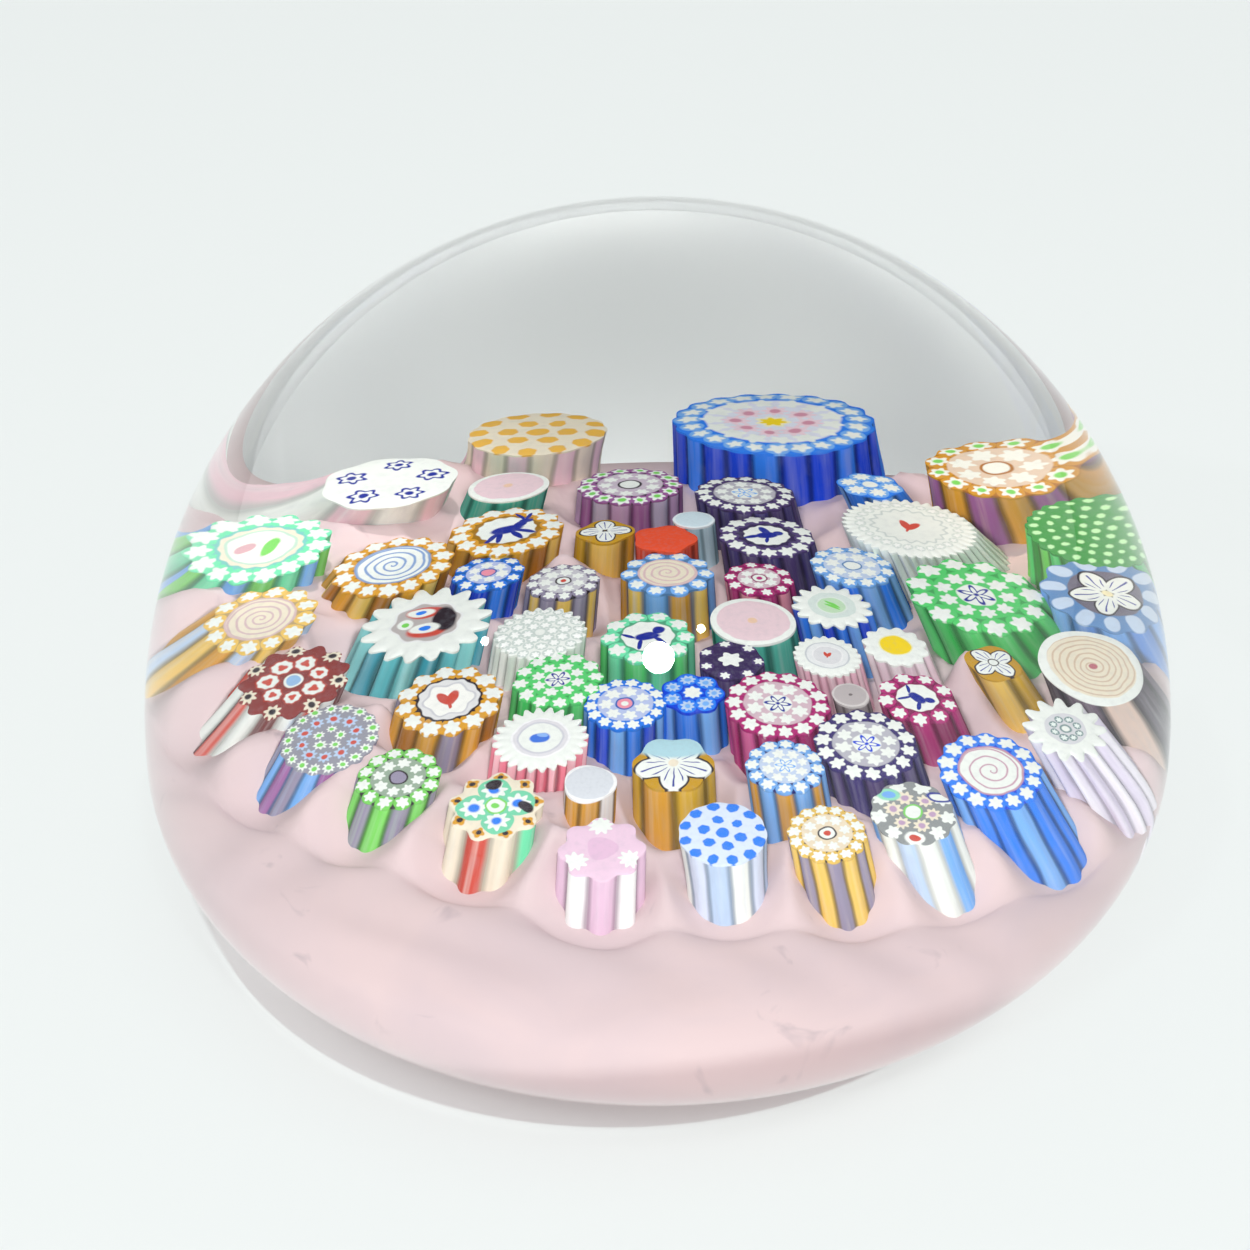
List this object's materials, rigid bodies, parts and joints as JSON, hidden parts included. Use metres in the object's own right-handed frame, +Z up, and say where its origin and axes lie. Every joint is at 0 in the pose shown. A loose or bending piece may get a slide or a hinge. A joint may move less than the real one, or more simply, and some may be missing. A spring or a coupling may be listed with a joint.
{
  "type": "millefiori glass paperweight",
  "caption": "Clear glass dome paperweight with patterned glass canes standing upright in an opaque pale pink cushion, on a polished flat base.",
  "frame": {"origin": "centre of the underside, in the plane of the table it rests on", "axes": "+Z up through the crown of the dome; -Y towards the near edge of the set-up of canes, +X to that side's right"},
  "size_m": [0.075, 0.075, 0.0515],
  "materials": {
    "clear_glass": "fire-polished clear lead glass",
    "opaque_pink_ground": "opaque pale pink glass, softly clouded, seen through the clear casing",
    "opaque_white": "opaque white glass rods fused into one cane, cased in clear glass",
    "opaque_blue": "opaque blue glass rods fused into one cane, cased in clear glass",
    "opaque_sky": "opaque sky glass rods fused into one cane, cased in clear glass",
    "opaque_amber": "opaque amber glass rods fused into one cane, cased in clear glass",
    "opaque_green": "opaque green glass rods fused into one cane, cased in clear glass",
    "opaque_teal": "opaque teal glass rods fused into one cane, cased in clear glass",
    "opaque_mauve": "opaque mauve glass rods fused into one cane, cased in clear glass",
    "opaque_purple": "opaque purple glass rods fused into one cane, cased in clear glass",
    "opaque_mint": "opaque mint glass rods fused into one cane, cased in clear glass",
    "opaque_grey": "opaque grey glass rods fused into one cane, cased in clear glass",
    "opaque_red": "opaque red glass rods fused into one cane, cased in clear glass",
    "opaque_mustard": "opaque mustard glass rods fused into one cane, cased in clear glass",
    "opaque_magenta": "opaque magenta glass rods fused into one cane, cased in clear glass",
    "opaque_rose": "opaque rose glass rods fused into one cane, cased in clear glass",
    "opaque_aqua": "opaque aqua glass rods fused into one cane, cased in clear glass",
    "opaque_indigo": "opaque indigo glass rods fused into one cane, cased in clear glass",
    "opaque_cream": "opaque cream glass rods fused into one cane, cased in clear glass"
  },
  "bodies": {
    "root": {"clear_casing": "clear_glass", "base_pad": "clear_glass", "pink_cushion": "opaque_pink_ground", "cane_blue_stars": "opaque_white", "cane_yellow_honeycomb": "opaque_white", "cane_blue_flower": "opaque_blue", "cane_pale_petals": "opaque_sky", "cane_amber_purple_stripes": "opaque_amber", "cane_green_dots": "opaque_green", "cane_teal_disc_back": "opaque_teal", "cane_mauve_stripes": "opaque_mauve", "cane_purple_stars_back": "opaque_purple", "cane_purple_bird": "opaque_purple", "cane_pale_blue_rod": "opaque_sky", "cane_white_heart": "opaque_white", "cane_amber_deer": "opaque_amber", "cane_mint_leaf": "opaque_mint", "cane_amber_spiral": "opaque_amber", "cane_small_blue_stars": "opaque_blue", "cane_small_grey_stripes": "opaque_grey", "cane_red_chunk": "opaque_red", "cane_back_pansy": "opaque_mustard", "cane_cream_spiral": "opaque_amber", "cane_small_magenta_stars": "opaque_magenta", "cane_light_blue_stars": "opaque_blue", "cane_white_cog": "opaque_blue", "cane_large_green_stars": "opaque_green", "cane_blue_pansy": "opaque_sky", "cane_cream_disc": "opaque_purple", "cane_yellow_daisy": "opaque_rose", "cane_small_heart": "opaque_rose", "cane_teal_disc": "opaque_teal", "cane_aqua_cog": "opaque_aqua", "cane_white_crimped": "opaque_white", "cane_mint_figure": "opaque_mint", "cane_green_stars": "opaque_green", "cane_small_purple_stars": "opaque_purple", "cane_cobalt_stars": "opaque_blue", "cane_blue_seven_rods": "opaque_blue", "cane_large_magenta_stars": "opaque_magenta", "cane_grey_rod": "opaque_grey", "cane_magenta_figure": "opaque_magenta", "cane_indigo_stars": "opaque_indigo", "cane_small_pansy": "opaque_mustard", "cane_white_daisy": "opaque_white", "cane_blue_spiral": "opaque_blue", "cane_blue_amber_stripes": "opaque_blue", "cane_mustard_pansy": "opaque_mustard", "cane_pink_crimped": "opaque_rose", "cane_amber_heart": "opaque_amber", "cane_white_capped_amber": "opaque_amber", "cane_red_hearts": "opaque_red", "cane_left_spiral": "opaque_cream", "cane_eye_rods": "opaque_mauve", "cane_green_grey_stripes": "opaque_green", "cane_red_mint_bundle": "opaque_red", "cane_pink_ribs": "opaque_rose", "cane_blue_honeycomb": "opaque_sky", "cane_amber_grey_stripes": "opaque_amber", "cane_mixed_rods": "opaque_white"}
  },
  "joints": []
}
